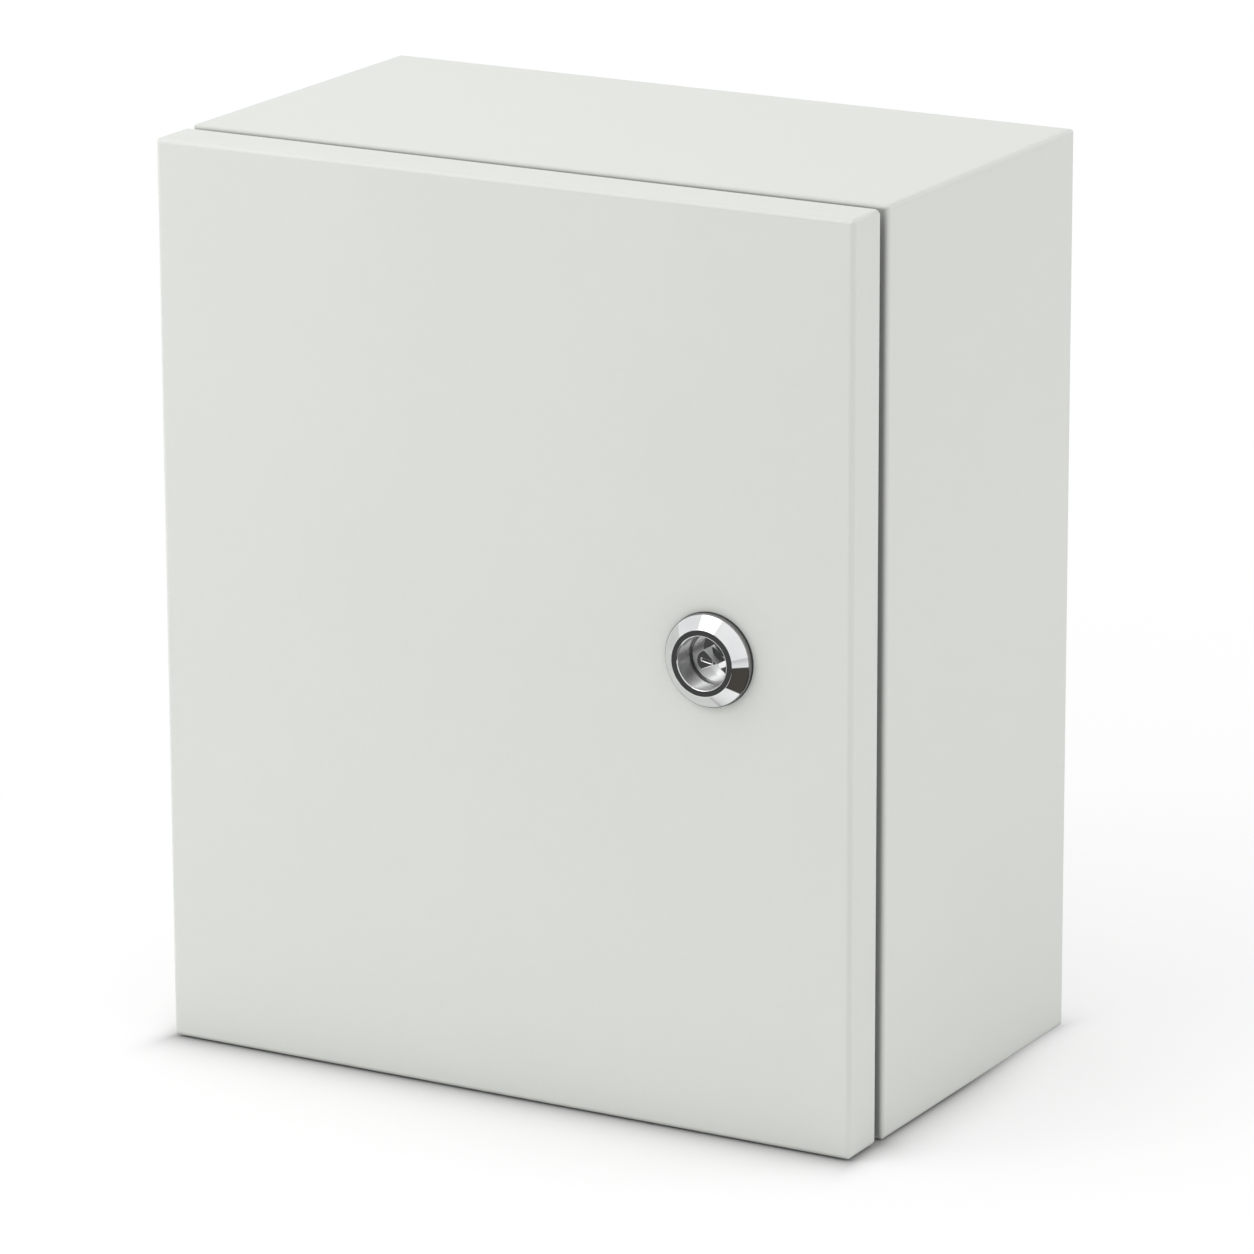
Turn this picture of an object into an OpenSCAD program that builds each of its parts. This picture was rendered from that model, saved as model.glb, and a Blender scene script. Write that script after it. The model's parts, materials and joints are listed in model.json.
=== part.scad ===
// Compact sheet-steel wall enclosure: a welded body, one door on two concealed hinges and a quarter-turn lock.
// The rear face lies on y = 0 and the door faces -Y; +X is to the right and +Z is up.
// The origin is the middle of the four wall holes in the rear face.

/* [Enclosure] */
// Overall width of the body
encl_w = 250; // [230:5:400]
// Overall height of the body
encl_h = 300; // [270:5:600]
// Overall depth from the wall to the door face
encl_d = 150; // [130:5:250]
// Thickness of the body and door sheet
sheet_t = 1.5; // [1.2:0.1:1.8]
// Inside radius of the folded edges
bend_in_r = 0.4; // [0.3:0.1:1.6]

/* [Wall holes] */
// Diameter of each wall hole
wall_hole_d = 8.5; // [6:0.5:10]
// Distance of the wall holes from the body's sides, top and bottom
wall_hole_inset = 20; // [15:1:24]

/* [Door] */
// Depth of the door's folded edge
door_depth = 17; // [15:0.5:19]
// Gap between the body and the rear edge of the door
door_gap = 5; // [4.5:0.1:7]
// How far the door stays inside the body's outline on each side
door_inset = 0.3; // [0.2:0.1:1]
// Thickness of the foam gasket on the door
gasket_t = 5.7; // [5:0.1:6.5]
// Width of the foam gasket
gasket_w = 9.5; // [8:0.5:11]
// Room between the gasket and the rim at rest
gasket_gap = 0.3; // [0.2:0.1:0.6]

/* [Rim] */
// Width of the gutter around the door opening
gutter_w = 20; // [19:0.5:23]
// Width of the rim that the gasket closes on
return_w = 12; // [10:0.5:13]

/* [Hinges] */
// Distance of each hinge's middle from the body's top or bottom
hinge_end = 48; // [45:1:70]
// Distance of the hinge axis from the door's left edge
pivot_in = 6.5; // [6.2:0.1:7]
// Distance of the hinge axis behind the door face
pivot_back = 10; // [9.5:0.1:10.5]
// Diameter of the hinge pin
pin_d = 4; // [3:0.5:4.5]
// Running clearance around the hinge pin
pin_clear = 0.05; // [0.02:0.01:0.1]
// Outside diameter of the hinge knuckles
knuckle_d = 8; // [7.5:0.1:8.4]
// Height of the knuckle on the body side
arm_h = 16; // [12:1:20]
// Thickness of the hinge arm and of its foot
arm_t = 3; // [2:0.1:3.2]
// Thickness of the foot on the rim
foot_t = 2; // [1.5:0.1:2.2]
// Height of the foot on the rim
foot_h = 34; // [30:1:40]
// Thickness of the hinge leaf
leaf_t = 2; // [1.5:0.1:2.4]
// Thickness of the two lugs on the leaf
lug_t = 3; // [2:0.1:4]
// Height of the leaf on the door
leaf_h = 54; // [50:1:60]
// Play between the lugs and the knuckle
lug_play = 0.3; // [0.2:0.05:0.5]

/* [Lock] */
// Distance of the lock's axis from the body's right side
lock_edge = 49.5; // [48:0.5:60]
// Height of the lock's axis above the middle of the body
lock_z = 6; // [-40:1:40]
// Diameter of the bezel
bezel_d = 30; // [28:0.5:34]
// Height of the bezel's straight rim above the door
bezel_rim = 2.2; // [1.6:0.1:3]
// Height of the bezel's flat front above the door
bezel_h = 5.9; // [5:0.1:7]
// Diameter of the bezel's flat front
bezel_flat_d = 21.3; // [20.5:0.1:23]
// Thickness of the seal under the bezel
seal_t = 0.8; // [0.5:0.1:1.2]
// Diameter of the cup in the bezel
cup_d = 17; // [16:0.1:18]
// Depth of the cup's seat behind the door face
cup_depth = 5; // [4:0.1:6]
// Width of the groove round the cup's seat that frees the insert's edge
cup_groove = 0.8; // [0.3:0.1:0.9]
// Diameter of the threaded barrel
barrel_d = 22; // [21:0.5:23]
// Width across the barrel's flats
barrel_flats = 20; // [19.5:0.1:20.5]
// Length of the barrel behind the door face
barrel_l = 16; // [15:0.1:18]
// Room between the barrel and the hole in the door
barrel_clear = 0.15; // [0.1:0.05:0.3]
// Width across flats of the lock nut
lock_nut_af = 27; // [26:0.5:28]
// Thickness of the lock nut
lock_nut_t = 4.5; // [3:0.1:5]

/* [Lock insert] */
// Depth of the insert's face behind the door face
insert_sink = 2.8; // [2:0.1:3.5]
// Room around the insert's disc in the cup
disc_clear = 0.4; // [0.3:0.05:0.6]
// Diameter of the insert's shaft
shaft_d = 14; // [12:0.1:14.5]
// Running clearance of the shaft in the barrel
shaft_clear = 0.05; // [0.02:0.01:0.1]
// Diameter across the key post's rounded back
post_d = 7.4; // [6:0.1:9]
// Length of the key post from the insert's face
post_l = 5.3; // [4:0.1:6.5]
// Turn of the key post's nose below the horizontal, in degrees
post_turn = 9; // [0:1:20]
// Width across flats of the square that drives the cam
square_w = 8; // [7:0.1:9]

/* [Lock cam] */
// Thickness of the cam
cam_t = 3; // [2:0.1:3.5]
// Width of the cam
cam_w = 15; // [12:0.5:18]
// Reach of the cam from the lock's axis
cam_reach = 27; // [25:0.1:27.4]
// Room between the latched cam and the rim
cam_gap = 0.4; // [0.3:0.05:0.8]
// Play between the barrel's end and the cam
cam_play = 0.4; // [0.2:0.05:0.6]
// Room around the square in the cam
square_clear = 0.05; // [0.02:0.01:0.1]
// Diameter of the cam screw
cam_screw_d = 5; // [4:0.5:6]

/* [Mounting plate] */
// Distance of the plate's edges from the body's sides, top and bottom
plate_inset = 30; // [28:1:40]
// Thickness of the mounting plate
plate_t = 2; // [1.5:0.1:3]
// Height of the plate above the body's rear wall
plate_standoff = 10; // [8:0.5:16]
// Distance of the studs from the plate's edges
stud_inset = 11; // [10:0.5:16]
// Diameter of the plate studs
stud_d = 8; // [6:0.5:8]
// Length of the plate studs
stud_l = 22.5; // [21:0.5:30]

/* [Gland plate] */
// Width of the opening in the base
gland_w = 150; // [100:5:160]
// Depth of the opening in the base, front to rear
gland_d = 70; // [60:2:76]
// Width of the gland plate's border around the opening
gland_border = 12; // [11:0.5:14]
// Thickness of the gland plate
gland_t = 2; // [1.5:0.1:3]
// Thickness of the gasket under the gland plate
gland_gasket_t = 3; // [2:0.1:4]
// Diameter of the gland plate's studs
gland_stud_d = 5; // [4:0.5:5]

/* [Small fasteners] */
// Diameter of the hinge studs and hinge screws
hinge_screw_d = 4; // [3:0.5:4]
// Diameter of the earth studs
earth_d = 6; // [5:0.5:8]
// Length of the earth studs
earth_l = 15; // [14:0.5:20]
// Room around a screw or stud in its hole
hole_clear = 0.2; // [0.1:0.05:0.4]

/* [Hidden] */
$fn = 64;

eps = 1;                                      // overshoot of a cut past the face that it opens
bend_r = sheet_t + bend_in_r;                 // outside radius of the folded edges
paint = [0.82, 0.83, 0.80];
zinc = [0.74, 0.75, 0.76];
chrome = [0.85, 0.86, 0.88];
foam = [0.12, 0.12, 0.13];

// Depths along y
door_face_y = -encl_d;
door_in_y = door_face_y + sheet_t;
door_rear_y = door_face_y + door_depth;
body_front_y = door_rear_y + door_gap;
rim_y = door_in_y + gasket_t + gasket_gap;    // front of the rim that the gasket closes on
rim_rear_y = rim_y + sheet_t;
rear_in_y = -sheet_t;
seat_inset = 0.5;                             // how far the gasket stays inside the rim's outline

// Door, rim and opening
door_w = encl_w - 2 * door_inset;
door_h = encl_h - 2 * door_inset;
lip_w = encl_w - 2 * gutter_w;
lip_h = encl_h - 2 * gutter_w;
mouth_w = lip_w - 2 * return_w;
mouth_h = lip_h - 2 * return_w;
gasket_outer_w = lip_w - 2 * seat_inset;
gasket_outer_h = lip_h - 2 * seat_inset;

// Hinge
pivot_x = -door_w / 2 + pivot_in;
pivot_y = door_face_y + pivot_back;
hinge_z = encl_h / 2 - hinge_end;
lip_x = -lip_w / 2;
arm_front_y = rim_y - gasket_gap / 3;         // the arm's front stays behind the gasket's sealing face
foot_end_y = body_front_y - 1;                // the foot ends just before the gutter's floor
foot_hole_y = (arm_front_y + arm_t + foot_end_y) / 2;
foot_hole_dz = foot_h / 2 - 1.25 * hinge_screw_d;
leaf_left = -door_w / 2 + bend_r + 0.2;       // clear of the bend inside the door's edge
leaf_right = lip_x - 3;
leaf_stud_dz = leaf_h / 2 - 1.75 * hinge_screw_d;
lug_reach = 5;                                // the lugs stop this far short of the leaf's width
leaf_stud_x = (leaf_left + leaf_right) / 2;
pin_hole_d = pin_d + 2 * pin_clear;
lug_dz = arm_h / 2 + lug_play;                // inner face of each lug from the hinge's middle
pin_head_t = 1.5;
clip_t = 0.8;
clip_groove = 0.4;

// Lock
lock_x = encl_w / 2 - lock_edge;
cam_front = -(barrel_l + cam_play);           // heights above the door face, so these are negative
cam_back = cam_front - cam_t;
cam_tip_front = -(rim_rear_y + cam_gap - door_face_y);
shaft_hole_d = shaft_d + 2 * shaft_clear;
disc_d = cup_d - 2 * disc_clear;
cup_groove_top = cup_groove - insert_sink;    // the groove starts just in front of the insert's face
slot_w = 1.1;                                 // slot in the end of the key post
slot_l = post_d / 2.6;
slot_depth = 0.6;
cam_washer_t = 1;

// Mounting plate
plate_w = encl_w - 2 * plate_inset;
plate_h = encl_h - 2 * plate_inset;
plate_y = rear_in_y - plate_standoff;         // rear face of the plate
plate_front_y = plate_y - plate_t;
plate_washer_t = 1.6;

// Gland plate
base_in_z = -encl_h / 2 + sheet_t;
gland_y = body_front_y / 2;                   // middle of the base, front to rear
gland_plate_w = gland_w + 2 * gland_border;
gland_plate_d = gland_d + 2 * gland_border;
gland_top_z = base_in_z + gland_gasket_t + gland_t;

// Metric hexagon nut: width across flats and thickness from the thread's diameter
function nut_af(d) = d <= 4 ? 7 : d <= 5 ? 8 : d <= 6 ? 10 : 13;
function nut_t(d) = 0.8 * d;

// ---- Shared shapes ----

// Rectangle with rounded corners, centred
module round_rect(w, h, r) {
    square([w, h - 2 * r], center = true);
    square([w - 2 * r, h], center = true);
    for (sx = [-1, 1], sy = [-1, 1])
        translate([sx * (w / 2 - r), sy * (h / 2 - r)]) circle(r);
}

// Upright plate from y0 to y1, with rounded corners seen from the front
module upright(w, h, r, y0, y1) {
    translate([0, y1, 0]) rotate([90, 0, 0]) linear_extrude(y1 - y0) round_rect(w, h, r);
}

// Block whose twelve edges are all bent to radius r
module folded_block(w, h, r, y0, y1) {
    intersection() {
        upright(w, h, r, y0, y1);
        translate([0, (y0 + y1) / 2, -h / 2]) linear_extrude(h) round_rect(w, y1 - y0, r);
        translate([-w / 2, (y0 + y1) / 2, 0]) rotate([90, 0, 90]) linear_extrude(w)
            round_rect(y1 - y0, h, r);
    }
}

// The same with its rear face left sharp, for pans that open to the rear
module folded_pan(w, h, r, y0, y1) {
    intersection() {
        folded_block(w, h, r, y0, y1 + 2 * r);
        translate([-w, y0 - eps, -h]) cube([2 * w, y1 - y0 + eps, 2 * h]);
    }
}

// Hexagon nut on the z axis, from z = 0 up
module hex_nut(d, af, t) {
    difference() {
        cylinder(d = af / cos(30), h = t, $fn = 6);
        translate([0, 0, -eps]) cylinder(d = d, h = t + 2 * eps);
    }
}

// Flat washer on the z axis, from z = 0 up
module washer(d_in, d_out, t) {
    difference() {
        cylinder(d = d_out, h = t);
        translate([0, 0, -eps]) cylinder(d = d_in, h = t + 2 * eps);
    }
}

// Places children on the plate's four studs, with their z axis towards the door
module at_plate_studs(y) {
    for (sx = [-1, 1], sz = [-1, 1])
        translate([sx * (plate_w / 2 - stud_inset), y, sz * (plate_h / 2 - stud_inset)])
            rotate([90, 0, 0]) children();
}

// Places children on the six gland studs, with their z axis up
module at_gland_studs(z) {
    for (sx = [-1, 0, 1], sy = [-1, 1])
        translate([sx * (gland_w + gland_border) / 2, gland_y + sy * (gland_d + gland_border) / 2, z])
            children();
}

// Places children on the body's earth stud, with their z axis up
module at_body_earth(z) {
    translate([(gland_plate_w + encl_w) / 4, gland_y, z]) children();
}

// Places children on the door's earth stud, with their z axis into the enclosure
module at_door_earth(y) {
    translate([-mouth_w / 2 + 20, y, -mouth_h / 2 + 20]) rotate([-90, 0, 0]) children();
}

// Places children on a hinge's two leaf studs, with their z axis into the enclosure
module at_leaf_studs(z, y) {
    for (s = [-1, 1])
        translate([leaf_stud_x, y, z + s * leaf_stud_dz]) rotate([-90, 0, 0]) children();
}

// Places children on a hinge's two arm screws, with their z axis away from the hinge, to the inside
module at_arm_screws(z, x) {
    for (s = [-1, 1])
        translate([x, foot_hole_y, z + s * foot_hole_dz]) rotate([0, 90, 0]) children();
}

// Places children on the lock's axis: z is the height above the door face, towards the user
module at_lock() {
    translate([lock_x, door_face_y, lock_z]) rotate([90, 0, 0]) children();
}

// ---- Body ----

module body_shell() {
    color(paint) difference() {
        union() {
            folded_block(encl_w, encl_h, bend_r, body_front_y, 0);
            folded_pan(lip_w, lip_h, bend_r, rim_y, body_front_y + sheet_t);
        }
        folded_block(encl_w - 2 * sheet_t, encl_h - 2 * sheet_t, bend_in_r,
            body_front_y + sheet_t, rear_in_y);
        folded_pan(lip_w - 2 * sheet_t, lip_h - 2 * sheet_t, bend_in_r,
            rim_rear_y, body_front_y + sheet_t + eps);
        upright(mouth_w, mouth_h, bend_r, rim_y - eps, rim_rear_y + eps);
        for (sx = [-1, 1], sz = [-1, 1])
            translate([sx * (encl_w / 2 - wall_hole_inset), eps, sz * (encl_h / 2 - wall_hole_inset)])
                rotate([90, 0, 0]) cylinder(d = wall_hole_d, h = sheet_t + 2 * eps);
        translate([-gland_w / 2, gland_y - gland_d / 2, -encl_h / 2 - eps])
            cube([gland_w, gland_d, sheet_t + 2 * eps]);
        for (z = [-hinge_z, hinge_z])
            at_arm_screws(z, lip_x - eps) cylinder(d = hinge_screw_d + 2 * hole_clear, h = sheet_t + 2 * eps);
    }
}

module plate_studs() {
    color(zinc) at_plate_studs(rear_in_y) cylinder(d = stud_d, h = stud_l);
}

module plate_spacers() {
    color(zinc) at_plate_studs(rear_in_y)
        hex_nut(stud_d + 2 * hole_clear, nut_af(stud_d), plate_standoff);
}

module mounting_plate() {
    color(zinc) difference() {
        upright(plate_w, plate_h, 4, plate_front_y, plate_y);
        at_plate_studs(plate_y + eps)
            cylinder(d = stud_d + 4 * hole_clear, h = plate_t + 2 * eps);
    }
}

module plate_washers() {
    color(zinc) at_plate_studs(plate_front_y)
        washer(stud_d + 2 * hole_clear, 2 * stud_d, plate_washer_t);
}

module plate_nuts() {
    color(zinc) at_plate_studs(plate_front_y - plate_washer_t)
        hex_nut(stud_d + 2 * hole_clear, nut_af(stud_d), nut_t(stud_d));
}

module gland_studs() {
    color(zinc) at_gland_studs(base_in_z)
        cylinder(d = gland_stud_d, h = gland_gasket_t + gland_t + nut_t(gland_stud_d) + 2);
}

module gland_gasket() {
    color(foam) difference() {
        translate([0, gland_y, base_in_z]) linear_extrude(gland_gasket_t)
            square([gland_plate_w, gland_plate_d], center = true);
        translate([0, gland_y, base_in_z - eps]) linear_extrude(gland_gasket_t + 2 * eps)
            square([gland_w, gland_d], center = true);
        at_gland_studs(base_in_z - eps)
            cylinder(d = gland_stud_d + 2 * hole_clear, h = gland_gasket_t + 2 * eps);
    }
}

module gland_plate() {
    color(paint) difference() {
        translate([0, gland_y, base_in_z + gland_gasket_t]) linear_extrude(gland_t)
            round_rect(gland_plate_w, gland_plate_d, 3);
        at_gland_studs(base_in_z + gland_gasket_t - eps)
            cylinder(d = gland_stud_d + 2 * hole_clear, h = gland_t + 2 * eps);
    }
}

module gland_nuts() {
    color(zinc) at_gland_studs(gland_top_z)
        hex_nut(gland_stud_d + 2 * hole_clear, nut_af(gland_stud_d), nut_t(gland_stud_d));
}

module body_earth_stud() {
    color(zinc) at_body_earth(base_in_z) cylinder(d = earth_d, h = earth_l);
}

module body_earth_washer() {
    color(zinc) at_body_earth(base_in_z) washer(earth_d + 2 * hole_clear, 2 * earth_d, 1.2);
}

module body_earth_nut() {
    color(zinc) at_body_earth(base_in_z + 1.2)
        hex_nut(earth_d + 2 * hole_clear, nut_af(earth_d), nut_t(earth_d));
}

// Hinge arm: a foot on the rim's side, and a neck that reaches round to the pivot
module hinge_arm(z) {
    color(zinc) difference() {
        translate([0, 0, z]) union() {
            translate([lip_x - foot_t, arm_front_y + eps, -foot_h / 2])
                cube([foot_t, foot_end_y - arm_front_y - eps, foot_h]);
            translate([pivot_x, arm_front_y, -arm_h / 2]) cube([lip_x - pivot_x, arm_t, arm_h]);
            translate([pivot_x, pivot_y, -arm_h / 2]) cylinder(d = knuckle_d, h = arm_h);
        }
        translate([pivot_x, pivot_y, z - arm_h]) cylinder(d = pin_hole_d, h = 2 * arm_h);
        at_arm_screws(z, lip_x - foot_t - eps) cylinder(d = hinge_screw_d, h = foot_t + 2 * eps);
    }
}

module upper_hinge_arm() {
    hinge_arm(hinge_z);
}

module lower_hinge_arm() {
    hinge_arm(-hinge_z);
}

module hinge_arm_screws() {
    color(zinc) for (z = [-hinge_z, hinge_z]) {
        at_arm_screws(z, lip_x - foot_t) cylinder(d = hinge_screw_d, h = foot_t + sheet_t + 0.5);
        at_arm_screws(z, lip_x + sheet_t) cylinder(d = 1.8 * hinge_screw_d, h = 0.6 * hinge_screw_d);
    }
}

// ---- Door ----

module door_panel() {
    color(paint) difference() {
        folded_pan(door_w, door_h, bend_r, door_face_y, door_rear_y);
        folded_pan(door_w - 2 * sheet_t, door_h - 2 * sheet_t, bend_in_r, door_in_y, door_rear_y + eps);
        at_lock() intersection() {
            translate([0, 0, -sheet_t - eps]) cylinder(d = barrel_d + 2 * barrel_clear, h = sheet_t + 2 * eps);
            cube([2 * barrel_d, barrel_flats + 2 * barrel_clear, 4 * sheet_t], center = true);
        }
    }
}

module door_gasket() {
    color(foam) difference() {
        upright(gasket_outer_w, gasket_outer_h, bend_r + sheet_t, door_in_y, door_in_y + gasket_t);
        upright(gasket_outer_w - 2 * gasket_w, gasket_outer_h - 2 * gasket_w, sheet_t,
            door_in_y - eps, door_in_y + gasket_t + eps);
    }
}

module door_earth_stud() {
    color(zinc) at_door_earth(door_in_y) cylinder(d = earth_d, h = earth_l);
}

module door_earth_washer() {
    color(zinc) at_door_earth(door_in_y) washer(earth_d + 2 * hole_clear, 2 * earth_d, 1.2);
}

module door_earth_nut() {
    color(zinc) at_door_earth(door_in_y + 1.2)
        hex_nut(earth_d + 2 * hole_clear, nut_af(earth_d), nut_t(earth_d));
}

module hinge_leaf_studs() {
    color(zinc) for (z = [-hinge_z, hinge_z])
        at_leaf_studs(z, door_in_y) cylinder(d = hinge_screw_d, h = leaf_t + nut_t(hinge_screw_d) + 1);
}

// Hinge leaf: a flat foot on the door with two lugs that take the pin
module hinge_leaf(z) {
    lug_w = leaf_right - leaf_left - lug_reach;
    color(zinc) difference() {
        union() {
            translate([leaf_left, door_in_y, z - leaf_h / 2]) cube([leaf_right - leaf_left, leaf_t, leaf_h]);
            for (lug_z = [z + lug_dz, z - lug_dz - lug_t]) translate([0, 0, lug_z]) {
                translate([pivot_x - knuckle_d / 2, door_in_y + leaf_t / 2, 0])
                    cube([lug_w, pivot_y - door_in_y - leaf_t / 2 - knuckle_d / 4, lug_t]);
                translate([pivot_x - knuckle_d / 2, door_in_y + leaf_t / 2, 0])
                    cube([knuckle_d, pivot_y - door_in_y - leaf_t / 2, lug_t]);
                translate([pivot_x, pivot_y, 0]) cylinder(d = knuckle_d, h = lug_t);
            }
        }
        translate([pivot_x, pivot_y, z - leaf_h / 2]) cylinder(d = pin_hole_d, h = leaf_h);
        at_leaf_studs(z, door_in_y - eps)
            cylinder(d = hinge_screw_d + 2 * hole_clear, h = leaf_t + 2 * eps);
    }
}

module upper_hinge_leaf() {
    hinge_leaf(hinge_z);
}

module lower_hinge_leaf() {
    hinge_leaf(-hinge_z);
}

module hinge_leaf_nuts() {
    color(zinc) for (z = [-hinge_z, hinge_z])
        at_leaf_studs(z, door_in_y + leaf_t)
            hex_nut(hinge_screw_d + 2 * hole_clear, nut_af(hinge_screw_d), nut_t(hinge_screw_d));
}

// Hinge pin: its head rests on the upper lug and a clip holds it under the lower one
module hinge_pin(z) {
    lug_outer = lug_dz + lug_t;
    color(chrome) translate([pivot_x, pivot_y, z]) rotate_extrude() polygon([
        [0, lug_outer + pin_head_t], [knuckle_d / 2 - 1, lug_outer + pin_head_t],
        [knuckle_d / 2 - 0.5, lug_outer], [pin_d / 2, lug_outer],
        [pin_d / 2, -lug_outer - lug_play], [pin_d / 2 - clip_groove, -lug_outer - lug_play],
        [pin_d / 2 - clip_groove, -lug_outer - lug_play - clip_t], [pin_d / 2, -lug_outer - lug_play - clip_t],
        [pin_d / 2, -lug_outer - 2.5], [0, -lug_outer - 2.5]
    ]);
}

module upper_hinge_pin() {
    hinge_pin(hinge_z);
}

module lower_hinge_pin() {
    hinge_pin(-hinge_z);
}

// Retaining clips: open rings in the pins' grooves
module hinge_pin_clips() {
    color(zinc) for (z = [-hinge_z, hinge_z])
        translate([pivot_x, pivot_y, z - lug_dz - lug_t - lug_play - clip_t]) difference() {
            cylinder(d = knuckle_d - 1, h = clip_t);
            translate([0, 0, -eps]) cylinder(d = pin_d - 2 * clip_groove + 2 * pin_clear, h = clip_t + 2 * eps);
            translate([0, -pin_d / 4, -eps]) cube([knuckle_d, pin_d / 2, clip_t + 2 * eps]);
        }
}

// ---- Lock ----

// Bezel and barrel in one casting: a straight rim, a polished cone, a flat front, the cup and the bore
module lock_bezel() {
    edge = 0.3;
    color(chrome) at_lock() difference() {
        union() {
            rotate_extrude($fn = 96) polygon([
                [0, seal_t], [bezel_d / 2 - edge / 2, seal_t], [bezel_d / 2, seal_t + edge],
                [bezel_d / 2, bezel_rim - edge], [bezel_d / 2 - edge, bezel_rim],
                [bezel_flat_d / 2, bezel_h], [0, bezel_h]
            ]);
            intersection() {
                translate([0, 0, -barrel_l]) cylinder(d = barrel_d, h = barrel_l + seal_t + eps / 2);
                cube([2 * barrel_d, barrel_flats, 4 * barrel_l], center = true);
            }
        }
        rotate_extrude($fn = 96) polygon([
            [0, bezel_h + eps], [cup_d / 2 + edge + eps, bezel_h + eps], [cup_d / 2, bezel_h - edge],
            [cup_d / 2, cup_groove_top], [cup_d / 2 + cup_groove, cup_groove_top],
            [cup_d / 2 + cup_groove, -cup_depth], [shaft_hole_d / 2, -cup_depth], [shaft_hole_d / 2, -barrel_l - eps],
            [0, -barrel_l - eps]
        ]);
    }
}

module lock_seal() {
    color(foam) at_lock() washer(barrel_d + 2 * barrel_clear, bezel_d - 1, seal_t);
}

module lock_nut() {
    color(zinc) at_lock() translate([0, 0, -sheet_t - lock_nut_t])
        rotate([0, 0, 30]) hex_nut(barrel_d + 2 * barrel_clear, lock_nut_af, lock_nut_t);
}

// Insert: a disc in the cup, a key post with two flat flanks, a shaft and the square for the cam
module lock_insert() {
    square_end = cam_back + 0.1;
    color(chrome) at_lock() difference() {
        union() {
            translate([0, 0, -cup_depth + 0.1]) cylinder(d = disc_d, h = cup_depth - insert_sink - 0.1);
            translate([0, 0, cam_front]) cylinder(d = shaft_d, h = -cam_front - insert_sink - 0.5);
            translate([-square_w / 2, -square_w / 2, square_end]) cube([square_w, square_w, cam_t + 1]);
            rotate([0, 0, -post_turn]) translate([0, 0, -insert_sink - 0.5]) intersection() {
                cylinder(d = post_d, h = post_l + 0.5);
                linear_extrude(post_l + 0.5) polygon([
                    [post_d / 2, 0], [-post_d / 4.6, post_d / 2.1], [-post_d, post_d / 2.1],
                    [-post_d, -post_d / 2.1], [-post_d / 4.6, -post_d / 2.1]
                ]);
            }
        }
        rotate([0, 0, -post_turn]) translate([-slot_l / 2, 0, post_l - insert_sink - slot_depth]) {
            translate([0, -slot_w / 2, 0]) cube([slot_l, slot_w, slot_depth + eps]);
            for (x = [0, slot_l]) translate([x, 0, 0]) cylinder(d = slot_w, h = slot_depth + eps);
        }
        translate([0, 0, square_end - eps]) cylinder(d = cam_screw_d, h = 10 + eps);
    }
}

// Cam: hub, crank and tip in one bent strip; it hangs down when the door is unlocked
module lock_cam() {
    crank_start = barrel_d / 2 + 0.8;
    crank_end = lip_w / 2 - return_w - lock_x + 1;
    color(zinc) at_lock() difference() {
        intersection() {
            translate([-cam_w / 2, 0, 0]) rotate([90, 0, 90]) linear_extrude(cam_w) polygon([
                [cam_w / 2, cam_front], [-crank_start, cam_front], [-crank_end, cam_tip_front],
                [-2 * cam_reach, cam_tip_front], [-2 * cam_reach, cam_tip_front - cam_t],
                [-crank_end - cam_t / 3, cam_tip_front - cam_t], [-crank_start - cam_t / 3, cam_back],
                [cam_w / 2, cam_back]
            ]);
            translate([0, 0, -2 * encl_d]) cylinder(r = cam_reach, h = 4 * encl_d);
        }
        translate([-square_w / 2 - square_clear, -square_w / 2 - square_clear, cam_back - eps])
            cube([square_w + 2 * square_clear, square_w + 2 * square_clear, cam_t + 2 * eps]);
    }
}

module cam_washer() {
    color(zinc) at_lock() translate([0, 0, cam_back - cam_washer_t])
        washer(cam_screw_d + 2 * hole_clear, 2.4 * cam_screw_d, cam_washer_t);
}

module cam_screw() {
    head_h = 0.6 * cam_screw_d;
    color(zinc) at_lock() translate([0, 0, cam_back - cam_washer_t - head_h]) difference() {
        union() {
            cylinder(d = 1.7 * cam_screw_d, h = head_h);
            cylinder(d = cam_screw_d, h = head_h + cam_washer_t + 9);
        }
        translate([0, 0, -eps]) cylinder(d = 0.9 * cam_screw_d, h = eps + 0.6 * head_h, $fn = 6);
    }
}

body_shell();
plate_studs();
plate_spacers();
mounting_plate();
plate_washers();
plate_nuts();
gland_studs();
gland_gasket();
gland_plate();
gland_nuts();
body_earth_stud();
body_earth_washer();
body_earth_nut();
upper_hinge_arm();
lower_hinge_arm();
hinge_arm_screws();
door_panel();
door_gasket();
door_earth_stud();
door_earth_washer();
door_earth_nut();
hinge_leaf_studs();
upper_hinge_leaf();
lower_hinge_leaf();
hinge_leaf_nuts();
upper_hinge_pin();
lower_hinge_pin();
hinge_pin_clips();
lock_bezel();
lock_seal();
lock_nut();
lock_insert();
lock_cam();
cam_washer();
cam_screw();
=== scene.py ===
# %% [markdown]
# # A folded steel wall enclosure
# A shallow steel box hangs on a wall and keeps terminals and relays dry. Its body and its door are folded
# from 1.5 mm sheet and powder coated in light grey, and one quarter-turn lock with a chrome collar closes
# it. The rigid parts come ready made and exactly to size from the CAD model, so this lesson is about what
# a camera sees: the finishes, the small turned parts that need a rounder shape than the CAD mesh has, and
# the light.

import math

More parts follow.
